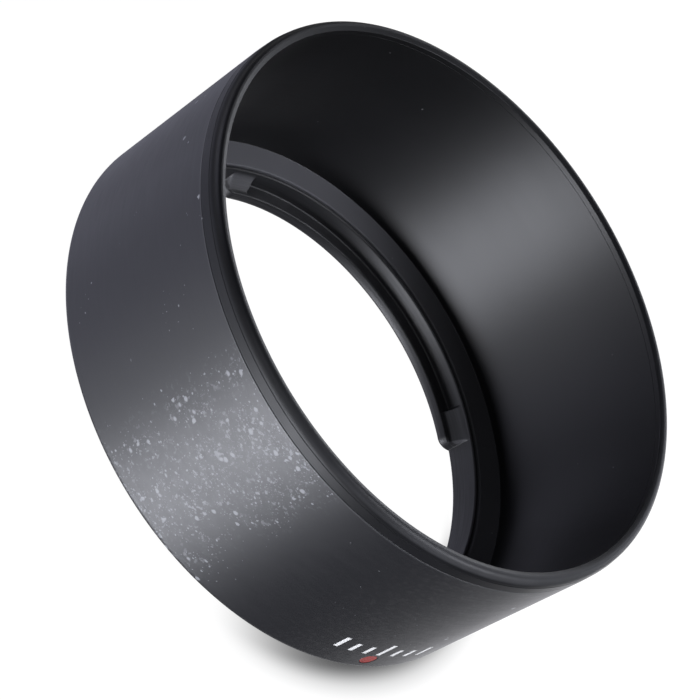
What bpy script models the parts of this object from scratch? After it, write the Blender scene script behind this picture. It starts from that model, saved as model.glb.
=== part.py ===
"""Lens hood: a short conical bayonet hood, built from separate pieces.

Frame: metres, +Z along the optical axis towards the subject. The rear face of
the bayonet collar lies on z = 0 and the front lip faces up. The index dot is
on the -Y side.
"""
import math

import bmesh
import bpy
from mathutils import Matrix, Vector

MM = 0.001

# ------------------------------------------------------------------ dimensions
SEGMENTS = 96                 # facets round every turned piece
GAP = 0.3 * MM                # clearance kept between touching pieces

DEPTH = 30.2 * MM             # rear face of the collar to the front lip
LIP_EDGE_Z = 29.98 * MM       # inner edge of the lip, a little below its crest
CREASE_Z = 29.77 * MM         # crease between the band and the lip's bead
JOINT_Z = 27.67 * MM          # rear edge of the front rim's band
FLANGE_Z = 2.8 * MM           # rear face of the barrel
WALL_OUT_REAR = 34.13 * MM    # outer radius of the barrel at its rear corner
WALL_OUT_JOINT = 35.22 * MM   # outer radius at the joint line, the widest place
WALL_IN_REAR = 32.48 * MM     # inner radius of the barrel at the shoulder
LIP_IN = 33.69 * MM           # inner radius of the front lip
LIP_OUT = 34.96 * MM          # outer radius of the lip's bead
BEAD = 0.5 * MM               # rounding of the bead
REAR_CORNER = 0.7 * MM        # rounding of the barrel's rear corner

SPIGOT_OUT = 34.25 * MM       # barrel spigot that carries the rim ring
SPIGOT_Z = 29.0 * MM
RIM_SKIRT_IN = SPIGOT_OUT + GAP
RIM_PLATE_Z = SPIGOT_Z + GAP  # underside of the rim's front plate

SHOULDER_OUT_Z = 4.37 * MM    # sloping shoulder inside the barrel's rear end
SHOULDER_IN_Z = 4.0 * MM
SHOULDER_IN = 29.62 * MM      # opening in the shoulder that takes the ring

RING_TOP = 3.86 * MM          # front edge of the bayonet ring
RING_OUT = SHOULDER_IN - GAP
RING_FLANGE_OUT = 31.2 * MM   # flange behind the barrel's rear face
RING_FLANGE_TOP = FLANGE_Z - GAP
RING_FLANGE_LOW = 1.5 * MM
CHANNEL_TOP = 28.92 * MM      # channel wall inside the ring
CHANNEL_REAR = 28.67 * MM
COLLAR_OUT = 29.85 * MM

LUG_IN = 27.0 * MM            # 54 mm between opposite lugs
LUG_THICK = 1.5 * MM
LUG_CORNER = 1.1 * MM
LUG_SPANS = ((-5.0, 92.0), (175.0, 272.0))   # degrees about +Z
STOP_IN = 28.4 * MM           # end stops on the channel wall
STOP_ARCS = ((-4.4, 4.0), (85.2, 91.4))      # degrees, on each lug
LUG_TURN = 180.0

DOT_RADIUS = 1.0 * MM
DOT_Z = 5.3 * MM
DOT_ANGLE = -90.0
DOT_DEPTH = 0.5 * MM


def wall_outer(z):
    """Outer radius of the conical wall at height z."""
    t = (z - FLANGE_Z) / (JOINT_Z - FLANGE_Z)
    return WALL_OUT_REAR + (WALL_OUT_JOINT - WALL_OUT_REAR) * t


def wall_inner(z):
    """Inner radius of the conical wall at height z."""
    t = (z - SHOULDER_OUT_Z) / (LIP_EDGE_Z - SHOULDER_OUT_Z)
    return WALL_IN_REAR + (LIP_IN - WALL_IN_REAR) * t


# --------------------------------------------------------------------- helpers
def clear_scene():
    for obj in list(bpy.data.objects):
        bpy.data.objects.remove(obj, do_unlink=True)


def collection(name, hidden=False):
    col = bpy.data.collections.new(name)
    bpy.context.scene.collection.children.link(col)
    if hidden:
        col.hide_render = True
    return col


def material(name, colour, roughness, metallic=0.0):
    mat = bpy.data.materials.new(name)
    mat.use_nodes = True
    bsdf = mat.node_tree.nodes["Principled BSDF"]
    bsdf.inputs["Base Color"].default_value = (*colour, 1.0)
    bsdf.inputs["Roughness"].default_value = roughness
    bsdf.inputs["Metallic"].default_value = metallic
    mat.diffuse_color = (*colour, 1.0)
    return mat


def arc(cx, cz, radius, start, end, count):
    """Points on an arc in the profile plane, angles in degrees from +X."""
    points = []
    for i in range(count + 1):
        a = math.radians(start + (end - start) * i / count)
        points.append((cx + radius * math.cos(a), cz + radius * math.sin(a)))
    return points


def turned(name, profile, col, mat=None, segments=SEGMENTS):
    """A closed profile of (radius, z) points, turned about Z."""
    mesh = bpy.data.meshes.new(name)
    bm = bmesh.new()
    verts = [bm.verts.new((r, 0.0, z)) for r, z in profile]
    for a, b in zip(verts, verts[1:] + verts[:1]):
        bm.edges.new((a, b))
    bm.to_mesh(mesh)
    bm.free()
    obj = bpy.data.objects.new(name, mesh)
    col.objects.link(obj)
    screw = obj.modifiers.new("Turn", "SCREW")
    screw.axis = "Z"
    screw.angle = math.tau
    screw.steps = segments
    screw.render_steps = segments
    screw.use_merge_vertices = True
    screw.merge_threshold = 0.00001
    screw.use_smooth_shade = True
    if mat:
        mesh.materials.append(mat)
    return obj


def sector(name, r_in, r_out, z0, z1, a0, a1, col, corner=0.0, step=2.5):
    """A plate with an annular-sector outline, its inner corners rounded."""
    def polar(r, deg):
        a = math.radians(deg)
        return Vector((r * math.cos(a), r * math.sin(a), 0.0))

    outline = []
    trim = math.degrees(corner / r_in)
    if corner > 0.0:
        for end, sign in ((a0, 1.0), (a1, -1.0)):
            centre = polar(r_in + corner, end + sign * trim)
            radial = polar(1.0, end + sign * trim)
            along = Vector((-radial.y, radial.x, 0.0)) * -sign
            fan = []
            for i in range(5):
                t = math.radians(90.0 * i / 4)
                fan.append(centre - radial * corner * math.cos(t) + along * corner * math.sin(t))
            outline.append(fan)
    count = max(2, round((a1 - a0 - 2 * trim) / step))
    inner = [polar(r_in, a0 + trim + (a1 - a0 - 2 * trim) * i / count) for i in range(count + 1)]
    outer_count = max(2, round((a1 - a0) / step))
    outer = [polar(r_out, a1 - (a1 - a0) * i / outer_count) for i in range(outer_count + 1)]
    if corner > 0.0:
        loop = list(reversed(outline[0]))[:-1] + inner + outline[1][1:] + outer
    else:
        loop = inner + outer

    mesh = bpy.data.meshes.new(name)
    bm = bmesh.new()
    low = [bm.verts.new((p.x, p.y, z0)) for p in loop]
    face = bm.faces.new(low)
    made = bmesh.ops.extrude_face_region(bm, geom=[face])
    for v in made["geom"]:
        if isinstance(v, bmesh.types.BMVert):
            v.co.z = z1
    bmesh.ops.recalc_face_normals(bm, faces=bm.faces[:])
    bm.to_mesh(mesh)
    bm.free()
    obj = bpy.data.objects.new(name, mesh)
    col.objects.link(obj)
    return obj


def cylinder(name, radius, height, place, col, segments=32):
    mesh = bpy.data.meshes.new(name)
    bm = bmesh.new()
    bmesh.ops.create_cone(bm, cap_ends=True, segments=segments, radius1=radius,
                          radius2=radius, depth=height)
    bm.to_mesh(mesh)
    bm.free()
    obj = bpy.data.objects.new(name, mesh)
    obj.matrix_world = place
    col.objects.link(obj)
    return obj


def boolean(obj, other, operation):
    mod = obj.modifiers.new(operation.title(), "BOOLEAN")
    mod.operation = operation
    mod.solver = "EXACT"
    mod.object = other


def as_cutter(obj):
    obj.hide_render = True
    obj.display_type = "WIRE"


def shade(obj, degrees=32.0):
    obj.data.shade_smooth()
    obj.data.set_sharp_from_angle(angle=math.radians(degrees))


# ---------------------------------------------------------------------- pieces
def build():
    clear_scene()
    hood = collection("lens_hood")
    cutters = collection("cutters", hidden=True)

    satin = material("barrel_satin_polymer", (0.045, 0.046, 0.054), 0.42)
    rim_black = material("rim_smooth_polymer", (0.030, 0.031, 0.035), 0.36)
    matte = material("mount_matte_polymer", (0.022, 0.022, 0.024), 0.55)
    red = material("index_red_paint", (0.50, 0.03, 0.02), 0.40)

    # Barrel: conical wall, spigot at the front, inward shoulder at the rear.
    joint = JOINT_Z - GAP
    corner_x = wall_outer(FLANGE_Z + REAR_CORNER) - REAR_CORNER
    barrel = turned("barrel", [
        (wall_inner(SPIGOT_Z), SPIGOT_Z),
        (SPIGOT_OUT, SPIGOT_Z),
        (SPIGOT_OUT, joint),
        (wall_outer(joint) - 0.12 * MM, joint),
        (wall_outer(joint), joint - 0.12 * MM),
        *arc(corner_x, FLANGE_Z + REAR_CORNER, REAR_CORNER, 0.0, -90.0, 5),
        (SHOULDER_IN, FLANGE_Z),
        (SHOULDER_IN, SHOULDER_IN_Z),
        (WALL_IN_REAR, SHOULDER_OUT_Z),
    ], hood, satin)

    # Front rim ring: smooth band outside, lip in front, plate over the spigot.
    rim = turned("front_rim_ring", [
        (LIP_IN + 0.09 * MM, DEPTH - 0.07 * MM),
        (LIP_IN + 0.26 * MM, DEPTH),
        *arc(LIP_OUT - BEAD, DEPTH - BEAD, BEAD, 90.0, 12.0, 4),
        (LIP_OUT + 0.06 * MM, CREASE_Z - 0.05 * MM),
        (WALL_OUT_JOINT, JOINT_Z + 0.45 * MM),
        (WALL_OUT_JOINT, JOINT_Z + 0.12 * MM),
        (WALL_OUT_JOINT - 0.12 * MM, JOINT_Z),
        (RIM_SKIRT_IN, JOINT_Z),
        (RIM_SKIRT_IN, RIM_PLATE_Z),
        (wall_inner(RIM_PLATE_Z), RIM_PLATE_Z),
        (LIP_IN, LIP_EDGE_Z),
    ], hood, rim_black)

    # Bayonet ring: collar in the shoulder's opening, flange, channel and lugs.
    ring = turned("bayonet_ring", [
        (CHANNEL_TOP + 0.12 * MM, RING_TOP),
        (RING_OUT, RING_TOP),
        (RING_OUT, RING_FLANGE_TOP),
        (RING_FLANGE_OUT - 0.15 * MM, RING_FLANGE_TOP),
        (RING_FLANGE_OUT, RING_FLANGE_TOP - 0.15 * MM),
        (RING_FLANGE_OUT, RING_FLANGE_LOW + 0.15 * MM),
        (RING_FLANGE_OUT - 0.15 * MM, RING_FLANGE_LOW),
        (COLLAR_OUT, RING_FLANGE_LOW),
        (COLLAR_OUT, 0.25 * MM),
        (COLLAR_OUT - 0.25 * MM, 0.0),
        (CHANNEL_REAR + 0.15 * MM, 0.0),
        (CHANNEL_REAR, 0.15 * MM),
        (CHANNEL_TOP, RING_TOP - 0.35 * MM),
    ], hood, matte)

    for i, (a0, a1) in enumerate(LUG_SPANS):
        letter = "ab"[i]
        lug = sector(f"lug_{letter}", LUG_IN, CHANNEL_REAR + 0.45 * MM, 0.0, LUG_THICK,
                     a0, a1, cutters, corner=LUG_CORNER)
        as_cutter(lug)
        boolean(ring, lug, "UNION")
        for j, (s0, s1) in enumerate(STOP_ARCS):
            turn = LUG_TURN * i
            stop = sector(f"stop_{letter}{j + 1}", STOP_IN, CHANNEL_REAR + 0.42 * MM,
                          LUG_THICK - 0.3 * MM, RING_TOP - 0.4 * MM,
                          s0 + turn, s1 + turn, cutters)
            as_cutter(stop)
            boolean(ring, stop, "UNION")

    # Index dot: paint inlay in a round pocket, square to the conical wall.
    angle = math.radians(DOT_ANGLE)
    slope = math.atan2(WALL_OUT_JOINT - WALL_OUT_REAR, JOINT_Z - FLANGE_Z)
    outward = Vector((math.cos(angle) * math.cos(slope), math.sin(angle) * math.cos(slope),
                      -math.sin(slope)))
    face = Vector((math.cos(angle) * wall_outer(DOT_Z), math.sin(angle) * wall_outer(DOT_Z), DOT_Z))
    turn = outward.to_track_quat("Z", "Y").to_matrix().to_4x4()

    pocket_depth = DOT_DEPTH + GAP
    pocket = cylinder("dot_pocket", DOT_RADIUS + GAP, 2.0 * pocket_depth,
                      Matrix.Translation(face) @ turn, cutters)
    as_cutter(pocket)
    boolean(barrel, pocket, "DIFFERENCE")

    dot = cylinder("index_dot", DOT_RADIUS, DOT_DEPTH,
                   Matrix.Translation(face - outward * (0.5 * DOT_DEPTH + 0.02 * MM)) @ turn, hood)
    dot.data.materials.append(red)

    for obj in (barrel, rim, ring, dot):
        shade(obj)


build()
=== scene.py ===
import math

import bpy
import numpy as np
from mathutils import Matrix, Vector


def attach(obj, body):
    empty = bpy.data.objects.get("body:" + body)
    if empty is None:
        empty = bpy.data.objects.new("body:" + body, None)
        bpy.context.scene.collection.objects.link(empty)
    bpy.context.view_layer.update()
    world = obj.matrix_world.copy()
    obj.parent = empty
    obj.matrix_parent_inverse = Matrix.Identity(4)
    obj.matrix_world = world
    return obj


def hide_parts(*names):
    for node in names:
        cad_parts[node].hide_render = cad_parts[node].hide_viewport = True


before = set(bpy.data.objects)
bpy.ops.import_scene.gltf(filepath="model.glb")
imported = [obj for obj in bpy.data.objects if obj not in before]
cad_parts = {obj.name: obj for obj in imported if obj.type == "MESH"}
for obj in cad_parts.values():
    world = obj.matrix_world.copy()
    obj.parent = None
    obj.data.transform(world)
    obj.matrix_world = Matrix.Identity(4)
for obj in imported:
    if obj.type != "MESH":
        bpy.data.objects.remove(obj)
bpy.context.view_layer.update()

MM = 0.001

# ---------------------------------------------------------------- dimensions
# Millimetres, the same frame and the same sizes as the CAD.
DEPTH = 30.2
LIP_EDGE_Z = 29.98
CREASE_Z = 29.00
JOINT_Z = 27.67
FLANGE_Z = 2.8
WALL_OUT_REAR = 34.13
WALL_OUT_JOINT = 35.22
WALL_IN_REAR = 32.48
LIP_IN = 33.69
SHOULDER_OUT_Z = 4.37
SHOULDER_IN_Z = 4.0
JOINT_RING = 29.46            # hairline joint between the shoulder and the ring
RING_TOP = 3.86
CHANNEL_TOP = 28.92
CHANNEL_REAR = 28.67
COLLAR_OUT = 29.85
RING_FLANGE_OUT = 31.2
LUG_IN = 27.0
LUG_THICK = 1.5
RAMP_TOP = 3.15
RAMP_IN = 1.15
LUG_SPANS = ((-5.0, 92.0), (175.0, 272.0))
STOPS = ((-5.0, 4.0), (85.2, 92.0))
DOT_Z = 5.3
DOT_ANGLE = -90.0
HAIR = 0.03                   # visible joints are hairlines, not the CAD's 0.3 mm


def wall_outer(z):
    return WALL_OUT_REAR + (WALL_OUT_JOINT - WALL_OUT_REAR) * (z - FLANGE_Z) / (JOINT_Z - FLANGE_Z)


def wall_inner(z):
    return WALL_IN_REAR + (LIP_IN - WALL_IN_REAR) * (z - SHOULDER_OUT_Z) / (LIP_EDGE_Z - SHOULDER_OUT_Z)


# ------------------------------------------------------------------- geometry
def rounded(points, steps=6, support=0.06):
    """Closed outline of (r, z, radius): rounds each corner, with a support point beside each arc."""
    out = []
    n = len(points)
    for i, (r, z, rad) in enumerate(points):
        p = np.array([r, z], float)
        a = np.array(points[i - 1][:2], float) - p
        b = np.array(points[(i + 1) % n][:2], float) - p
        la, lb = np.linalg.norm(a), np.linalg.norm(b)
        a, b = a / la, b / lb
        if rad <= 0:
            out.append(tuple(p))
            continue
        cosang = float(np.clip(a @ b, -1, 1))
        half = math.acos(cosang) / 2
        if half > math.radians(87.5):
            out.append(tuple(p))
            continue
        t = min(rad / math.tan(half), 0.45 * la, 0.45 * lb)
        rad = t * math.tan(half)
        bis = (a + b) / np.linalg.norm(a + b)
        c = p + bis * (rad / math.sin(half))
        s0, s1 = p + a * t, p + b * t
        if la > 3 * (t + support):
            out.append(tuple(s0 + a * support))
        v0, v1 = s0 - c, s1 - c
        ang0, ang1 = math.atan2(v0[1], v0[0]), math.atan2(v1[1], v1[0])
        d = (ang1 - ang0 + math.pi) % math.tau - math.pi
        for k in range(steps + 1):
            ang = ang0 + d * k / steps
            out.append((c[0] + rad * math.cos(ang), c[1] + rad * math.sin(ang)))
        if lb > 3 * (t + support):
            out.append(tuple(s1 + b * support))
    return out


def densify(points, z0, z1, step, outer=True):
    """Adds points on the long outer wall between two heights."""
    out = []
    n = len(points)
    for i, p in enumerate(points):
        q = points[(i + 1) % n]
        out.append(p)
        long_wall = abs(q[1] - p[1]) > 8 and (min(p[0], q[0]) > 33.9) == outer and min(p[0], q[0]) > 30
        if long_wall:
            zs = list(np.arange(z0, z1, step))
            zs = [z for z in zs if min(p[1], q[1]) + 0.3 < z < max(p[1], q[1]) - 0.3]
            if q[1] < p[1]:
                zs = zs[::-1]
            for z in zs:
                s = (z - p[1]) / (q[1] - p[1])
                out.append((p[0] + (q[0] - p[0]) * s, z))
    return out


def grid_mesh(name, verts, faces, mats=None, material_index=None):
    mesh = bpy.data.meshes.new(name)
    mesh.from_pydata(verts.tolist() if hasattr(verts, "tolist") else verts, [], faces)
    mesh.update()
    co = np.zeros(len(mesh.vertices) * 3)
    mesh.vertices.foreach_get("co", co)
    co = co.reshape(-1, 3)
    mesh.calc_loop_triangles()
    tri = np.zeros(len(mesh.loop_triangles) * 3, np.int32)
    mesh.loop_triangles.foreach_get("vertices", tri)
    t = co[tri.reshape(-1, 3)]
    if np.einsum("ij,ij->i", t[:, 0], np.cross(t[:, 1], t[:, 2])).sum() < 0:
        mesh.flip_normals()
    for m in mats or []:
        mesh.materials.append(m)
    if material_index is not None:
        mesh.polygons.foreach_set("material_index", np.array(material_index, np.int32))
    mesh.shade_smooth()
    mesh.validate()
    obj = bpy.data.objects.new(name, mesh)
    bpy.context.scene.collection.objects.link(obj)
    return obj


def sweep(name, sections, thetas, mats, pick):
    """Joins closed sections of (r, z), one for each angle, into a closed ring.

    sections: array (angles, points, 2) in millimetres. pick(r, z) gives a face's material.
    """
    n, m = sections.shape[:2]
    th = np.asarray(thetas)[:, None]
    verts = np.stack([sections[..., 0] * np.cos(th), sections[..., 0] * np.sin(th),
                      sections[..., 1]], -1).reshape(-1, 3) * MM
    faces, index = [], []
    for j in range(m):
        k = (j + 1) % m
        r = 0.5 * (sections[:, j, 0] + sections[:, k, 0])
        z = 0.5 * (sections[:, j, 1] + sections[:, k, 1])
        for i in range(n):
            i2 = (i + 1) % n
            faces.append((i * m + j, i2 * m + j, i2 * m + k, i * m + k))
            index.append(pick(r[i], z[i]))
    return grid_mesh(name, verts, faces, mats, index)


def lathe(name, profile, thetas, mats, pick, shift=None):
    sec = np.repeat(np.array(profile, float)[None], len(thetas), 0)
    if shift is not None:
        sec = shift(sec, np.asarray(thetas))
    return sweep(name, sec, thetas, mats, pick)


def even_angles(n):
    return np.arange(n) * math.tau / n


def angles_with(dense_at, half_width, fine, n):
    """Even angles, with fine steps round one direction (degrees)."""
    base = np.degrees(even_angles(n))
    c = dense_at % 360.0
    keep = [a for a in base if abs((a - c + 180) % 360 - 180) > half_width]
    extra = (c + np.arange(-half_width, half_width + fine / 2, fine)) % 360
    return np.radians(np.array(sorted(set(np.round(np.concatenate([keep, extra]), 6)))))


def smooth(x):
    x = np.clip(x, 0, 1)
    return x * x * (3 - 2 * x)


# ------------------------------------------------------------------ materials
class Nodes:
    """Short names for building a material's nodes."""

    def __init__(self, name):
        self.mat = bpy.data.materials.new(name)
        self.mat.use_nodes = True
        self.tree = self.mat.node_tree
        self.bsdf = self.tree.nodes["Principled BSDF"]
        coord = self.tree.nodes.new("ShaderNodeTexCoord")
        self.pos = coord.outputs["Object"]

    def link(self, a, b):
        self.tree.links.new(a, b)

    def put(self, socket, value):
        if isinstance(value, (int, float, tuple, list)):
            if isinstance(value, (tuple, list)) and len(value) == 3 and socket.type == "RGBA":
                value = (*value, 1.0)
            socket.default_value = value
        else:
            self.link(value, socket)

    def math(self, op, a, b=None, c=None, clamp=False):
        n = self.tree.nodes.new("ShaderNodeMath")
        n.operation = op
        n.use_clamp = clamp
        for s, v in zip(n.inputs, (a, b, c)):
            if v is not None:
                self.put(s, v)
        return n.outputs[0]

    def vec(self, op, a, b=None, scale=None):
        n = self.tree.nodes.new("ShaderNodeVectorMath")
        n.operation = op
        self.put(n.inputs[0], a)
        if b is not None:
            self.put(n.inputs[1], b)
        if scale is not None:
            self.put(n.inputs["Scale"], scale)
        return n.outputs["Value"] if op in ("LENGTH", "DOT_PRODUCT", "DISTANCE") else n.outputs[0]

    def scaled(self, x, y, z, shift=(0.0, 0.0, 0.0)):
        n = self.tree.nodes.new("ShaderNodeMapping")
        self.put(n.inputs["Vector"], self.pos)
        n.inputs["Scale"].default_value = (x, y, z)
        n.inputs["Location"].default_value = shift
        return n.outputs[0]

    def noise(self, vector, scale, detail=2.0, rough=0.5, distortion=0.0):
        n = self.tree.nodes.new("ShaderNodeTexNoise")
        self.put(n.inputs["Vector"], vector)
        n.inputs["Scale"].default_value = scale
        n.inputs["Detail"].default_value = detail
        n.inputs["Roughness"].default_value = rough
        n.inputs["Distortion"].default_value = distortion
        return n.outputs["Fac"]

    def voronoi(self, vector, scale, feature="F1", out="Distance", randomness=1.0):
        n = self.tree.nodes.new("ShaderNodeTexVoronoi")
        n.feature = feature
        self.put(n.inputs["Vector"], vector)
        n.inputs["Scale"].default_value = scale
        n.inputs["Randomness"].default_value = randomness
        return n.outputs[out]

    def span(self, value, lo, hi, to_lo=0.0, to_hi=1.0, kind="SMOOTHSTEP"):
        n = self.tree.nodes.new("ShaderNodeMapRange")
        n.interpolation_type = kind
        n.clamp = True
        self.put(n.inputs["Value"], value)
        for k, v in zip(("From Min", "From Max", "To Min", "To Max"), (lo, hi, to_lo, to_hi)):
            self.put(n.inputs[k], v)
        return n.outputs["Result"]

    def mix(self, fac, a, b):
        n = self.tree.nodes.new("ShaderNodeMix")
        n.data_type = "RGBA"
        self.put(n.inputs[0], fac)
        self.put(n.inputs[6], a)
        self.put(n.inputs[7], b)
        return n.outputs[2]

    def bump(self, height, strength, distance, normal=None):
        n = self.tree.nodes.new("ShaderNodeBump")
        n.inputs["Strength"].default_value = strength
        n.inputs["Distance"].default_value = distance
        self.put(n.inputs["Height"], height)
        if normal is not None:
            self.put(n.inputs["Normal"], normal)
        return n.outputs[0]

    def xyz(self):
        n = self.tree.nodes.new("ShaderNodeSeparateXYZ")
        self.put(n.inputs[0], self.pos)
        return n.outputs

    def set(self, **values):
        for k, v in values.items():
            self.put(self.bsdf.inputs[k.replace("_", " ")], v)


def angle_mask(m, centre, half, soft):
    """1 within half degrees of a direction about +Z, falling off over soft degrees."""
    a = math.radians(centre)
    x, y, z = m.xyz()
    along = m.math("ADD", m.math("MULTIPLY", x, math.cos(a)), m.math("MULTIPLY", y, math.sin(a)))
    radius = m.math("SQRT", m.math("ADD", m.math("MULTIPLY", x, x), m.math("MULTIPLY", y, y)))
    cosine = m.math("DIVIDE", along, radius)
    return m.span(cosine, math.cos(math.radians(half + soft)), math.cos(math.radians(max(half - soft, 0.0))))


def barrel_outside():
    m = Nodes("barrel_satin_outside")
    # Streaks run round the barrel: low frequency along it, high frequency in z.
    streak = m.noise(m.scaled(90, 90, 5200), 1.0, 3.0, 0.6)
    streak2 = m.noise(m.scaled(260, 260, 2600, (3.1, 1.7, 0.4)), 1.0, 2.0, 0.5)
    cloud = m.noise(m.scaled(1, 1, 1), 55.0, 3.0, 0.55)
    grain = m.noise(m.scaled(1, 1, 1), 5200.0, 2.0, 0.6)
    pits = m.voronoi(m.scaled(1, 1, 1), 3600.0)
    # Handling has left faint dents and scuffs on one side.
    ripple = m.math("MULTIPLY", m.noise(m.scaled(1, 1, 1.6, (0.2, 0.5, 0.9)), 1150.0, 3.0, 0.62, 0.4),
                    m.math("ADD", 0.15, m.math("MULTIPLY", angle_mask(m, -75.0, 30.0, 24.0), 0.85)))

    # Painted highlight: a lighter line on the barrel just below the rim joint, standing in for light on that edge.
    painted_edge_highlight = m.math("MULTIPLY", m.span(m.xyz()[2], 0.02735, 0.0275), m.span(cloud, 0.35, 0.6, 0.35, 1.0))

    mottle = m.math("MULTIPLY", m.math("POWER", angle_mask(m, -76.0, 25.0, 24.0), 1.6),
                    m.span(m.noise(m.scaled(1, 1, 1.5, (0.6, 0.3, 0.2)), 1500.0, 3.0, 0.6, 0.3), 0.48, 0.66))

    # Worn, dusty patch on one side, with small satellites; the haze over it is a painted sheen.
    z = m.xyz()[2]
    side = m.math("POWER", angle_mask(m, PATCH[0], PATCH[1], PATCH[2]), 2.2)
    patch_noise = m.noise(m.scaled(1, 1, 1, (0.013, 0.021, 0.008)), 210.0, 3.0, 0.6, 0.6)
    patch = m.math("MULTIPLY", side, m.span(patch_noise, 0.36, 0.60, 0.16, 1.0))
    everywhere = m.span(m.noise(m.scaled(1, 1, 1, (0.4, 0.1, 0.7)), 120.0, 2.0, 0.5), 0.50, 0.80, 0.0, 0.32)
    amount = m.math("MAXIMUM", patch, m.math("MULTIPLY", everywhere, 0.45))

    warp = m.vec("ADD", m.scaled(1, 1, 1.25), m.vec("SCALE", m.noise_color(900.0), scale=0.00045))
    big = m.voronoi(warp, 1150.0)
    big_pick = m.voronoi_pick(warp, 1150.0)
    mid = m.voronoi(warp, 2300.0)
    mid_pick = m.voronoi_pick(warp, 2300.0)
    fine = m.voronoi(warp, 4600.0)
    fine_pick = m.voronoi_pick(warp, 4600.0)

    def flecks(dist, pick, rate, size):
        chosen = m.math("LESS_THAN", pick, m.math("MULTIPLY", amount, rate))
        blob = m.span(dist, size, size * 0.55)
        return m.math("MULTIPLY", chosen, blob)

    f1 = flecks(big, big_pick, 0.15, 0.50)
    f2 = flecks(mid, mid_pick, 0.19, 0.42)
    f3 = flecks(fine, fine_pick, 0.20, 0.44)
    crumbs = m.noise(warp, 1350.0, 3.0, 0.62)
    blots = m.math("MULTIPLY", m.span(crumbs, 0.585, 0.64), patch)
    grit = m.math("MULTIPLY", m.span(m.noise(warp, 3900.0, 2.0, 0.6), 0.62, 0.70),
                  m.math("MULTIPLY", patch, m.span(z, 0.010, 0.0262, 0.35, 1.0)))
    fleck = m.math("MAXIMUM", m.math("MAXIMUM", m.math("MULTIPLY", f1, 0.75), m.math("MULTIPLY", f2, 0.75)),
                   m.math("MULTIPLY", f3, 0.6))
    fleck = m.math("MAXIMUM", fleck, m.math("MAXIMUM", m.math("MULTIPLY", blots, 0.62), m.math("MULTIPLY", grit, 0.75)))
    # Painted sheen: the haze lightens the patch's colour where the barrel's sheen falls; the flecks are dust.
    haze_painted_sheen = m.math("MULTIPLY", patch, m.span(m.noise(warp, 700.0, 3.0, 0.7), 0.42, 0.72, 0.0, 0.5))
    dust_and_painted_sheen = m.math("MAXIMUM", fleck, m.math("MULTIPLY", haze_painted_sheen, 0.22), clamp=True)

    tint = m.math("ADD", m.span(cloud, 0.3, 0.7, -0.12, 0.12, "LINEAR"), m.span(streak, 0.3, 0.7, -0.05, 0.05, "LINEAR"))
    dark = m.mix(m.math("ADD", 0.5, tint), BARREL_DARK, BARREL_LIGHT)
    # Painted highlight along the barrel's top edge, under the rim joint.
    dark = m.mix(m.math("MULTIPLY", painted_edge_highlight, 0.6), dark, (0.045, 0.046, 0.05))
    dark = m.mix(m.math("MULTIPLY", mottle, 0.24), dark, (0.060, 0.060, 0.060))
    colour = m.mix(m.math("MULTIPLY", dust_and_painted_sheen, FLECK_OPACITY), dark, FLECK_COLOUR)
    rough = m.math("ADD", BARREL_ROUGH, m.span(streak2, 0.3, 0.7, -0.018, 0.018, "LINEAR"))
    rough = m.math("ADD", rough, m.math("MULTIPLY", dust_and_painted_sheen, 0.03))
    height = m.math("ADD", m.math("MULTIPLY", grain, 0.5), m.math("MULTIPLY", m.span(pits, 0.0, 0.5), 0.5))
    normal = m.bump(height, BARREL_GRAIN, 0.00003)
    normal = m.bump(streak, 0.035, 0.00003, normal)
    normal = m.bump(ripple, 0.6, 0.00002, normal)
    normal = m.bump(dust_and_painted_sheen, 0.5, 0.00002, normal)
    m.set(Base_Color=colour, Roughness=rough, Normal=normal, IOR=1.5, Specular_IOR_Level=0.55)
    return m.mat


def noise_color(self, scale):
    n = self.tree.nodes.new("ShaderNodeTexNoise")
    self.put(n.inputs["Vector"], self.pos)
    n.inputs["Scale"].default_value = scale
    n.inputs["Detail"].default_value = 1.0
    sub = self.vec("SUBTRACT", n.outputs["Color"], (0.5, 0.5, 0.5))
    return sub


def voronoi_pick(self, vector, scale):
    n = self.tree.nodes.new("ShaderNodeTexVoronoi")
    self.put(n.inputs["Vector"], vector)
    n.inputs["Scale"].default_value = scale
    sep = self.tree.nodes.new("ShaderNodeSeparateColor")
    self.link(n.outputs["Color"], sep.inputs[0])
    return sep.outputs[0]


Nodes.noise_color = noise_color
Nodes.voronoi_pick = voronoi_pick


def barrel_inside(name, dark, light, base_rough, level, painted_lit_side=None):
    m = Nodes(name)
    grain = m.noise(m.scaled(1, 1, 1), 4200.0, 3.0, 0.65)
    streak = m.noise(m.scaled(70, 70, 3000), 1.0, 2.0, 0.5)
    cloud = m.noise(m.scaled(1, 1, 1), 60.0, 2.0, 0.5)
    specks = m.voronoi(m.scaled(1, 1, 1), 900.0)
    pick = m.voronoi_pick(m.scaled(1, 1, 1), 900.0)
    speck = m.math("MULTIPLY", m.math("LESS_THAN", pick, 0.02), m.span(specks, 0.12, 0.06))
    base = m.mix(m.span(cloud, 0.3, 0.7), dark, light)
    if painted_lit_side is not None:
        # Painted light and shade: the shoulder is lighter towards one side and darker away from it, as the light falls.
        painted_lit_side_mask = angle_mask(m, painted_lit_side, 70.0, 45.0)
        base = m.mix(painted_lit_side_mask, m.vec("SCALE", base, scale=0.42), base)
    colour = m.mix(m.math("MULTIPLY", speck, 0.5), base, (0.16, 0.16, 0.165))
    rough = m.math("ADD", base_rough, m.span(streak, 0.3, 0.7, -0.01, 0.01, "LINEAR"))
    normal = m.bump(grain, INSIDE_GRAIN, 0.00003)
    normal = m.bump(streak, 0.015, 0.00003, normal)
    m.set(Base_Color=colour, Roughness=rough, Normal=normal, IOR=1.5, Specular_IOR_Level=level)
    return m.mat


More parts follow.
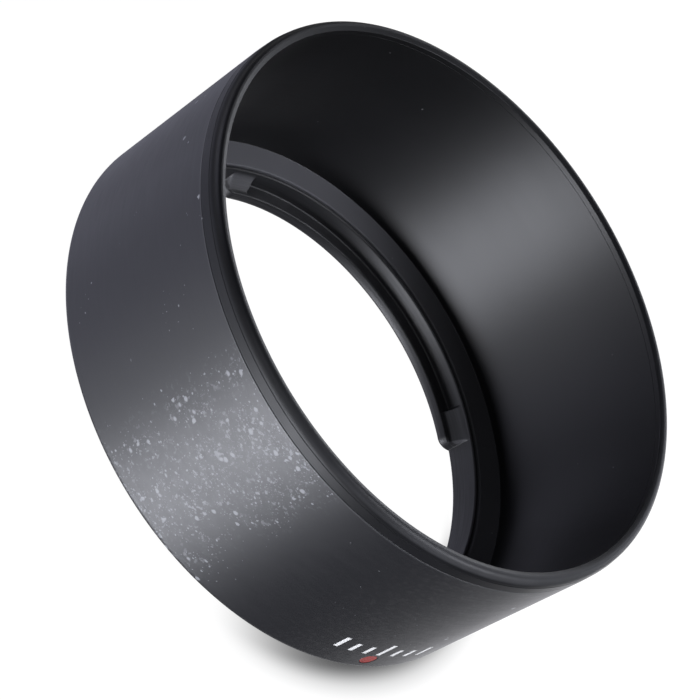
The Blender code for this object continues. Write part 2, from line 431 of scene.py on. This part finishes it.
def rim_material():
    m = Nodes("rim_smooth_satin")
    grain = m.noise(m.scaled(1, 1, 1), 6500.0, 2.0, 0.6)
    streak = m.noise(m.scaled(80, 80, 4000), 1.0, 3.0, 0.6)
    cloud = m.noise(m.scaled(1, 1, 1), 160.0, 3.0, 0.6)
    scuff = m.span(m.noise(m.scaled(900, 900, 2600, (1.0, 2.0, 3.0)), 1.0, 3.0, 0.7), 0.66, 0.80)
    scuff = m.math("MULTIPLY", scuff, m.span(cloud, 0.42, 0.62))
    colour = m.mix(m.math("MULTIPLY", scuff, 0.35), m.mix(cloud, RIM_DARK, RIM_LIGHT), (0.11, 0.112, 0.12))
    x, y, z = m.xyz()
    radius = m.math("SQRT", m.math("ADD", m.math("MULTIPLY", x, x), m.math("MULTIPLY", y, y)))
    # Painted light: the lip's bead is lighter on one side, standing in for light on it.
    lip_painted_light = m.math("MULTIPLY", m.span(z, 0.02925, 0.0297), m.span(radius, 0.0338, 0.0345))
    lip_painted_light = m.math("MULTIPLY", m.math("MULTIPLY", lip_painted_light, angle_mask(m, 285.0, 60.0, 40.0)), m.span(cloud, 0.3, 0.6, 0.8, 1.0))
    colour = m.mix(m.math("MULTIPLY", lip_painted_light, 0.6), colour, (0.070, 0.071, 0.076))
    rough = m.math("ADD", RIM_ROUGH, m.math("ADD", m.span(cloud, 0.3, 0.7, -0.03, 0.04, "LINEAR"),
                                            m.math("MULTIPLY", scuff, 0.15)))
    normal = m.bump(grain, 0.05, 0.00003)
    normal = m.bump(streak, 0.05, 0.00003, normal)
    m.set(Base_Color=colour, Roughness=rough, Normal=normal, IOR=1.5, Specular_IOR_Level=0.30)
    return m.mat


def mount_material():
    m = Nodes("mount_worn_matte")
    grain = m.noise(m.scaled(1, 1, 1), 4200.0, 3.0, 0.6)
    x, y, z = m.xyz()
    radius = m.math("SQRT", m.math("ADD", m.math("MULTIPLY", x, x), m.math("MULTIPLY", y, y)))
    rub_zone = m.span(radius, 0.0292, 0.0286)            # channel wall and lugs rub on the lens
    rub_noise = m.noise(m.scaled(140, 140, 5200), 1.0, 3.0, 0.65)
    rub = m.math("MULTIPLY", rub_zone, m.span(rub_noise, 0.35, 0.65))
    cloud = m.noise(m.scaled(1, 1, 1), 300.0, 2.0, 0.5)
    colour = m.mix(m.math("MULTIPLY", rub, 0.35), m.mix(cloud, MOUNT_DARK, MOUNT_LIGHT), (0.04, 0.04, 0.043))
    # Painted highlight: the end stops' ramps are painted lighter, standing in for the light they catch.
    stop = None
    for a0, a1 in STOPS:
        for turn in (0.0, 180.0):
            here = angle_mask(m, (a0 + a1) / 2 + turn, (a1 - a0) / 2, 0.25)
            stop = here if stop is None else m.math("MAXIMUM", stop, here)
    stop_painted_highlight = m.math("MULTIPLY", m.math("MULTIPLY", stop, m.span(radius, 0.02895, 0.0287)), m.span(z, 0.0016, 0.0018))
    colour = m.mix(m.math("MULTIPLY", stop_painted_highlight, m.span(rub_noise, 0.2, 0.7, 0.65, 1.0)), colour, STOP_PAINTED_HIGHLIGHT)
    rough = m.math("SUBTRACT", MOUNT_ROUGH, m.math("MULTIPLY", rub, 0.08))
    normal = m.bump(grain, 0.12, 0.00003)
    normal = m.bump(rub_noise, 0.06, 0.00003, normal)
    m.set(Base_Color=colour, Roughness=rough, Normal=normal, IOR=1.5, Specular_IOR_Level=0.35)
    return m.mat


def paint(name, colour, dark, rough):
    m = Nodes(name)
    mottle = m.noise(m.scaled(1, 1, 1), 2600.0, 3.0, 0.6)
    chips = m.span(m.noise(m.scaled(1, 1, 1, (0.3, 0.2, 0.1)), 1900.0, 4.0, 0.7), 0.60, 0.68)
    c = m.mix(m.span(mottle, 0.3, 0.7), dark, colour)
    c = m.mix(m.math("MULTIPLY", chips, 0.25), c, dark)
    normal = m.bump(mottle, 0.15, 0.00003)
    m.set(Base_Color=c, Roughness=m.math("ADD", rough, m.math("MULTIPLY", chips, 0.15)), Normal=normal, IOR=1.48)
    return m.mat


# Colours are linear, dark moulded plastics.
BARREL_DARK = (0.0048, 0.0050, 0.0070)
BARREL_LIGHT = (0.0074, 0.0077, 0.0102)
BARREL_ROUGH = 0.46
BARREL_GRAIN = 0.12
INSIDE_DARK = (0.0022, 0.0022, 0.0027)
INSIDE_LIGHT = (0.0036, 0.0036, 0.0043)
INSIDE_ROUGH = 0.44
INSIDE_GRAIN = 0.10
SHOULDER_DARK = (0.080, 0.080, 0.088)
SHOULDER_LIGHT = (0.098, 0.098, 0.108)
RIM_DARK = (0.0038, 0.0040, 0.0052)
RIM_LIGHT = (0.0066, 0.0069, 0.0086)
RIM_ROUGH = 0.45
MOUNT_DARK = (0.0070, 0.0070, 0.0080)
MOUNT_LIGHT = (0.0110, 0.0110, 0.0124)
MOUNT_ROUGH = 0.50
# Painted highlight colour for the end stops.
STOP_PAINTED_HIGHLIGHT = (0.065, 0.065, 0.070)
PATCH = (-148.0, 11.0, 11.0)         # direction, half width and softness, degrees
FLECK_COLOUR = (0.40, 0.41, 0.435)
FLECK_OPACITY = 0.70

# --------------------------------------------------------------------- pieces
mat_out = barrel_outside()
mat_in = barrel_inside("barrel_matte_inside", INSIDE_DARK, INSIDE_LIGHT, INSIDE_ROUGH, 0.40)
# The shoulder's colour is painted lighter towards 120 degrees and darker away from it, as light and shade.
mat_shoulder = barrel_inside("barrel_matte_shoulder", SHOULDER_DARK, SHOULDER_LIGHT, 0.62, 0.5, 120.0)
mat_rim = rim_material()
mat_mount = mount_material()
mat_red = paint("index_red_paint", (0.30, 0.020, 0.016), (0.19, 0.012, 0.010), 0.48)
mat_white = paint("mark_white_ink", (0.80, 0.80, 0.79), (0.66, 0.66, 0.65), 0.50)

SLOPE = math.atan2(WALL_OUT_JOINT - WALL_OUT_REAR, JOINT_Z - FLANGE_Z)

# Barrel: conical wall, rounded rear corner, inward shoulder, spigot for the rim.
joint = JOINT_Z - HAIR
profile = rounded([
    (wall_inner(29.28), 29.28, 0.02),
    (34.50, 29.28, 0.05),
    (34.50, joint, 0.05),
    (wall_outer(joint), joint, 0.07),
    (wall_outer(FLANGE_Z) , FLANGE_Z, 0.72),
    (JOINT_RING + HAIR / 2, FLANGE_Z, 0.06),
    (JOINT_RING + HAIR / 2, SHOULDER_IN_Z, 0.18),
    (WALL_IN_REAR, SHOULDER_OUT_Z, 0.10),
], steps=7)
profile = densify(profile, 3.8, 6.9, 0.09)


def dot_pocket(sec, thetas):
    """A shallow round pocket for the index dot."""
    off = (thetas - math.radians(DOT_ANGLE) + math.pi) % math.tau - math.pi
    x = off[:, None] * wall_outer(DOT_Z)
    y = (sec[..., 1] - DOT_Z) / math.cos(SLOPE)
    d = np.hypot(x, y)
    outer = sec[..., 0] > wall_outer(sec[..., 1]) - 0.01
    sec[..., 0] -= np.where(outer, 0.11 * smooth((1.13 - d) / 0.14), 0.0)
    return sec


def barrel_slot(r, z):
    if z < 3.2 or r > wall_inner(z) + 0.35:
        return 0
    return 2 if r < WALL_IN_REAR - 0.05 and z < SHOULDER_OUT_Z + 0.1 else 1


barrel = lathe("barrel_shell", profile, angles_with(DOT_ANGLE, 2.6, 0.16, 540), [mat_out, mat_in, mat_shoulder],
               barrel_slot, dot_pocket)

# Front rim ring: band, faint crease, full rolled bead, face that falls slightly inwards.
roll = [(34.42 + 0.76 * math.cos(a), CREASE_Z + (DEPTH - CREASE_Z) * math.sin(a))
        for a in np.radians(np.linspace(4.0, 88.0, 18))]
profile = rounded([
    (LIP_IN, LIP_EDGE_Z + 0.01, 0.10),
    (34.22, DEPTH - 0.015, 0.20),
    *[(r, z, 0.0) for r, z in reversed(roll)],
    (35.185, CREASE_Z - 0.02, 0.03),
    (WALL_OUT_JOINT, CREASE_Z - 0.10, 0.06),
    (WALL_OUT_JOINT, JOINT_Z, 0.07),
    (34.53, JOINT_Z, 0.03),
    (34.53, 29.30, 0.03),
    (wall_inner(29.30), 29.30, 0.02),
], steps=8)
rim = lathe("rim_ring", profile, even_angles(540), [mat_rim, mat_in],
            lambda r, z: 1 if r < wall_inner(z) + 0.10 and z < LIP_EDGE_Z else 0)


# Bayonet ring: one closed section, which changes along the ring between a bare wall,
# a lug and an end stop.
def channel_wall(z):
    return CHANNEL_REAR + (CHANNEL_TOP - CHANNEL_REAR) * np.clip((z - 0.15) / (RING_TOP - 0.5), 0, 1)


def arc_pts(cx, cz, rad, a0, a1, n):
    a = np.radians(np.linspace(a0, a1, n))
    return list(zip(cx + rad * np.cos(a), cz + rad * np.sin(a)))


zs_wall = [3.40, 3.0, 2.5, 2.1, 1.86]
top_round = arc_pts(CHANNEL_TOP + 0.30, RING_TOP - 0.30, 0.30, 95.0, 180.0, 8)
wall_pts = [(channel_wall(z), z) for z in zs_wall]
lug_in = LUG_IN + 0.02
lug_path = (
    arc_pts(channel_wall(1.74) - 0.22, LUG_THICK + 0.22, 0.22, 0.0, -90.0, 6)      # concave corner
    + [(r, LUG_THICK - 0.03 * (28.5 - r)) for r in (28.3, 28.0, 27.75, 27.55)]      # front face
    + arc_pts(lug_in + 0.36, LUG_THICK - 0.05 - 0.24, 0.24, 90.0, 180.0, 7)         # rounded edge
    + [(lug_in + 0.09, 1.10), (lug_in + 0.05, 0.90), (lug_in + 0.01, 0.62)]         # inner face
    + arc_pts(lug_in + 0.42, 0.42, 0.42, 180.0, 270.0, 7)                           # lower edge
    + [(27.7, 0.0), (28.1, 0.0), (28.5, 0.0), (28.9, 0.0)]
)
zs = np.concatenate([np.linspace(1.74, 0.34, len(lug_path) - 12), ])
bare_path = [(channel_wall(z), z) for z in zs] + arc_pts(CHANNEL_REAR + 0.22, 0.22, 0.22, 185.0, 270.0, 12)
bare_path[-1] = (28.93, 0.0)
assert len(bare_path) == len(lug_path), (len(bare_path), len(lug_path))
rest = rounded([
    (COLLAR_OUT, 0.0, 0.25),
    (COLLAR_OUT, 1.5, 0.20),
    (RING_FLANGE_OUT, 1.5, 0.15),
    (RING_FLANGE_OUT, FLANGE_Z - HAIR, 0.15),
    (JOINT_RING - HAIR / 2, FLANGE_Z - HAIR, 0.05),
    (JOINT_RING - HAIR / 2, RING_TOP, 0.16),
], steps=5)

# The closed outline's first and last corners have no long neighbours, so it is joined as listed.
bare = np.array(rest + top_round + wall_pts + bare_path)
lug = np.array(rest + top_round + wall_pts + lug_path)
n_rest, n_top, n_wall = len(rest), len(top_round), len(wall_pts)

END = math.degrees(1.25 / 28.0)       # length of a lug's rounded end, in degrees


def ring_angles():
    out = set()
    for a in np.arange(0, 360, 0.75):
        out.add(round(a, 5))
    for a0, a1 in LUG_SPANS:
        for phi in np.linspace(0, 90, 17):
            s = (1 - math.cos(math.radians(phi))) * END
            out.add(round((a0 + s) % 360, 5))
            out.add(round((a1 - s) % 360, 5))
        out.add(round((a0 - 0.06) % 360, 5))
        out.add(round((a1 + 0.06) % 360, 5))
    for t in (0.0, 180.0):
        for k in np.linspace(-0.6, 0.6, 13):
            out.add(round((STOPS[0][1] + t + k) % 360, 5))
            out.add(round((STOPS[1][0] + t + k) % 360, 5))
    return np.array(sorted(out))


def lug_weight(deg):
    best = 0.0
    for a0, a1 in LUG_SPANS:
        mid, half = (a0 + a1) / 2, (a1 - a0) / 2
        d = half - abs((deg - mid + 180) % 360 - 180)
        if d > 0:
            s = min(d / END, 1.0)
            best = max(best, math.sqrt(max(0.0, 1 - (1 - s) ** 2)))
    return best


def stop_weight(deg):
    best = 0.0
    for t in (0.0, 180.0):
        for a0, a1 in STOPS:
            mid, half = (a0 + a1) / 2 + t, (a1 - a0) / 2
            d = half - abs((deg - mid + 180) % 360 - 180)
            best = max(best, float(smooth((d + 0.35) / 0.7)))
    return best


angles = ring_angles()
sections = np.zeros((len(angles), len(bare), 2))
for i, deg in enumerate(angles):
    w = lug_weight(deg)
    s = (1 - w) * bare + w * lug
    p = stop_weight(deg) * min(1.0, w * 1.6)
    if p > 0:
        # The end stop is a ramp from the channel wall down to the lug's inner edge.
        a = n_rest
        b = n_rest + n_top + n_wall + 6
        zz = s[a:b, 1]
        s[a:b, 0] -= p * RAMP_IN * np.clip((RAMP_TOP - zz) / (RAMP_TOP - LUG_THICK), 0, 1) * (s[a:b, 0] > 27.9)
        face = slice(b, b + 4)
        s[face, 0] = (1 - p) * s[face, 0] + p * (27.42 + 0.22 * (s[face, 0] - 27.55))
    sections[i] = s
ring = sweep("bayonet_mount", sections, np.radians(angles), [mat_mount], lambda r, z: 0)

# Index dot: a thin, slightly dished fill of paint in its pocket.
a0 = math.radians(DOT_ANGLE)
radii = [0.0] + list(np.linspace(0.12, 0.96, 8)) + [1.01, 1.03]
verts, faces = [], []
seg = 64


def on_wall(x, y, lift):
    """A point on the barrel's outer surface: x mm round it and y mm up it from the dot."""
    z = DOT_Z + y * math.cos(SLOPE)
    r = wall_outer(z) + lift
    a = a0 + x / wall_outer(DOT_Z)
    return (r * math.cos(a) * MM, r * math.sin(a) * MM, z * MM)


verts.append(on_wall(0, 0, -0.045))
for k, rad in enumerate(radii[1:]):
    lift = -0.045 + 0.025 * (rad / 1.0) ** 4 if k < len(radii) - 2 else -0.135
    for j in range(seg):
        t = math.tau * j / seg
        verts.append(on_wall(rad * math.cos(t), rad * math.sin(t), lift))
verts.append(on_wall(0, 0, -0.135))
for j in range(seg):
    faces.append((0, 1 + j, 1 + (j + 1) % seg))
for k in range(len(radii) - 2):
    b0, b1 = 1 + k * seg, 1 + (k + 1) * seg
    for j in range(seg):
        j2 = (j + 1) % seg
        faces.append((b0 + j, b1 + j, b1 + j2, b0 + j2))
b0 = 1 + (len(radii) - 2) * seg
for j in range(seg):
    faces.append((len(verts) - 1, b0 + (j + 1) % seg, b0 + j))
dot = grid_mesh("index_dot_paint", np.array(verts), faces, [mat_red])


# Index marks: a fan of plain tick marks in white ink, each a thin film on the barrel.
def tick(name, x, y0, y1, width):
    nx, ny, lift, sink = 3, 9, 0.016, -0.02
    vs, fs = [], []
    xs = np.linspace(-width / 2, width / 2, nx)
    ys = np.linspace(y0, y1, ny)
    for level in (lift, sink):
        for yy in ys:
            for xx in xs:
                vs.append(on_wall(x + xx, yy, level))
    def at(level, j, i):
        return level * nx * ny + j * nx + i
    for j in range(ny - 1):
        for i in range(nx - 1):
            fs.append((at(0, j, i), at(0, j, i + 1), at(0, j + 1, i + 1), at(0, j + 1, i)))
            fs.append((at(1, j, i), at(1, j + 1, i), at(1, j + 1, i + 1), at(1, j, i + 1)))
    for i in range(nx - 1):
        fs.append((at(0, 0, i), at(1, 0, i), at(1, 0, i + 1), at(0, 0, i + 1)))
        fs.append((at(0, ny - 1, i + 1), at(1, ny - 1, i + 1), at(1, ny - 1, i), at(0, ny - 1, i)))
    for j in range(ny - 1):
        fs.append((at(0, j + 1, 0), at(1, j + 1, 0), at(1, j, 0), at(0, j, 0)))
        fs.append((at(0, j, nx - 1), at(1, j, nx - 1), at(1, j + 1, nx - 1), at(0, j + 1, nx - 1)))
    obj = grid_mesh(name, np.array(vs), fs, [mat_white])
    obj.data.set_sharp_from_angle(angle=math.radians(40))
    return obj


MARKS = []
for i, (x, tall) in enumerate(((-6.6, 2.5), (-4.4, 1.9), (-2.2, 1.9), (0.0, 3.1), (2.2, 1.9), (4.4, 1.9), (6.6, 2.5))):
    MARKS.append(tick(f"index_tick_{i + 1}", x, 1.50, 1.50 + tall, 0.56))

for piece in (barrel, rim, ring, dot, *MARKS):
    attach(piece, "root")
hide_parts("barrel")
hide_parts("front_rim_ring")
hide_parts("bayonet_ring")
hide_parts("index_dot")

# ---------------------------------------------------------------------- stage
# A light table: the pale floor glows evenly, and the studio lights pass through it.
FLOOR_GLOW = 1.0
FLOOR_ALBEDO = 0.06
BASE_RADIUS = 0.0332
CONTACT_SIDE = 287.0
CONTACT_BACK = 56.0


def floor_material():
    """Even white, with a soft contact shade close to the hood's foot, deeper on one side."""
    m = Nodes("floor_white")
    x, y, z = m.xyz()
    radius = m.math("SQRT", m.math("ADD", m.math("MULTIPLY", x, x), m.math("MULTIPLY", y, y)))
    gap = m.math("SUBTRACT", radius, BASE_RADIUS)
    a = math.radians(CONTACT_SIDE)
    along = m.math("DIVIDE", m.math("ADD", m.math("MULTIPLY", x, math.cos(a)), m.math("MULTIPLY", y, math.sin(a))), radius)
    side = m.span(along, math.cos(math.radians(52.0)), math.cos(math.radians(8.0)))
    b = math.radians(CONTACT_BACK)
    along = m.math("DIVIDE", m.math("ADD", m.math("MULTIPLY", x, math.cos(b)), m.math("MULTIPLY", y, math.sin(b))), radius)
    back = m.span(along, math.cos(math.radians(38.0)), math.cos(math.radians(6.0)))
    reach = m.math("ADD", m.math("MULTIPLY", side, 0.62), m.math("MULTIPLY", back, 0.42))
    wide = m.math("MULTIPLY", m.span(gap, 0.0048, -0.001), reach)
    tight = m.math("MULTIPLY", m.span(gap, 0.0024, -0.0005), m.math("MULTIPLY", reach, 0.48))
    shade = m.math("MULTIPLY", m.math("ADD", wide, tight, clamp=True), m.span(radius, 0.0272, 0.0290))
    m.bsdf.inputs["Base Color"].default_value = (FLOOR_ALBEDO, FLOOR_ALBEDO, FLOOR_ALBEDO, 1.0)
    m.bsdf.inputs["Roughness"].default_value = 1.0
    m.bsdf.inputs["Specular IOR Level"].default_value = 0.0
    m.bsdf.inputs["Emission Color"].default_value = (1.0, 1.0, 1.0, 1.0)
    m.put(m.bsdf.inputs["Emission Strength"], m.math("MULTIPLY", m.math("SUBTRACT", 1.0, shade), FLOOR_GLOW))
    return m.mat


bpy.ops.mesh.primitive_plane_add(size=8.0, location=(0, 0, -0.00002))
floor = bpy.context.object
floor.name = "floor"
floor.data.materials.append(floor_material())
floor.visible_glossy = False
floor.visible_diffuse = False
floor.visible_shadow = False

# ------------------------------------------------------------------- lighting
world = bpy.data.worlds.new("studio")
bpy.context.scene.world = world
world.use_nodes = True
bg = world.node_tree.nodes["Background"]
wt = world.node_tree
sky = wt.nodes.new("ShaderNodeTexCoord")
split = wt.nodes.new("ShaderNodeSeparateXYZ")
level = wt.nodes.new("ShaderNodeMath")
level.operation = "ABSOLUTE"
band = wt.nodes.new("ShaderNodeMapRange")
band.inputs["From Min"].default_value = 0.05
band.inputs["From Max"].default_value = 0.08
band.inputs["To Min"].default_value = 1.2
band.inputs["To Max"].default_value = 0.02
wt.links.new(sky.outputs["Generated"], split.inputs[0])
wt.links.new(split.outputs["Z"], level.inputs[0])
wt.links.new(level.outputs[0], band.inputs["Value"])
wt.links.new(band.outputs["Result"], bg.inputs["Strength"])
bg.inputs["Color"].default_value = (1.0, 1.0, 1.0, 1.0)


def softbox(name, azimuth, elevation, size, radiance, distance=0.9, colour=(1.0, 1.0, 1.0)):
    """An area light aimed at the hood. Azimuth is the direction it stands in about +Z."""
    data = bpy.data.lights.new(name, "AREA")
    data.shape = "DISK"
    data.size = size
    data.energy = radiance * math.pi * (math.pi * (size / 2) ** 2)
    data.color = colour
    obj = bpy.data.objects.new(name, data)
    a, e = math.radians(azimuth), math.radians(elevation)
    way = Vector((math.cos(a) * math.cos(e), math.sin(a) * math.cos(e), math.sin(e)))
    centre = Vector((0.0, 0.0, 0.015))
    obj.location = centre + way * distance
    obj.rotation_mode = "QUATERNION"
    obj.rotation_quaternion = way.to_track_quat("Z", "Y")
    obj.visible_camera = False
    bpy.context.scene.collection.objects.link(obj)
    return obj


NEUTRAL = (0.97, 0.99, 1.07)
COOL = (0.93, 0.94, 1.17)
WARM = (0.99, 0.99, 1.03)
BROAD = 0.585
LIGHTS = [
    # name, azimuth, elevation, diameter, radiance, colour
    ("low_front", 217.0, -38.0, BROAD, 12.3, NEUTRAL),
    ("low_front_left", 178.0, -50.0, BROAD, 1.55, NEUTRAL),
    ("low_left_a", 152.0, -38.0, BROAD, 0.75, COOL),
    ("low_left_b", 110.0, -50.0, BROAD, 0.72, COOL),
    ("low_left_c", 98.0, -26.0, BROAD, 0.25, COOL),
    ("low_back", 64.0, -50.0, BROAD, 0.66, COOL),
    ("low_right_a", 8.0, -26.0, BROAD, 1.35, WARM),
    ("low_right_b", 358.0, -38.0, BROAD, 0.77, WARM),
    ("low_right_c", 328.0, -50.0, BROAD, 0.42, WARM),
    ("high_front", 198.0, 38.0, 0.36, 2.9, NEUTRAL),
    ("high_right", 298.0, 38.0, 0.36, 13.2, NEUTRAL),
    ("top_right", 308.0, 60.0, 0.36, 6.2, NEUTRAL),
    ("back", 28.0, 15.0, 0.46, 3.3, NEUTRAL),
    ("left_fill", 120.0, 18.0, 0.50, 2.4, COOL),
    ("right_fill", 2.0, 10.0, 0.50, 1.6, NEUTRAL),
]
for name, az, el, size, radiance, colour in LIGHTS:
    softbox(name, az, el, size, radiance, colour=colour)


# --------------------------------------------------------------------- camera
cam_data = bpy.data.cameras.new("camera")
cam_data.sensor_width = 36.0
cam_data.lens = 243.357
cam_data.clip_start = 0.05
cam_data.clip_end = 20.0
camera = bpy.data.objects.new("camera", cam_data)
bpy.context.scene.collection.objects.link(camera)
camera.matrix_world = Matrix((
    (0.7061995626, -0.1209707624, -0.6976017831, -0.3800252152),
    (-0.2159068691, 0.9015696122, -0.3749085885, -0.2032981586),
    (0.6742895500, 0.4153773000, 0.6105696500, 0.3460988331),
    (0.0, 0.0, 0.0, 1.0),
))
bpy.context.scene.camera = camera
bpy.context.scene.view_settings.view_transform = "Standard"
bpy.context.scene.view_settings.look = "None"
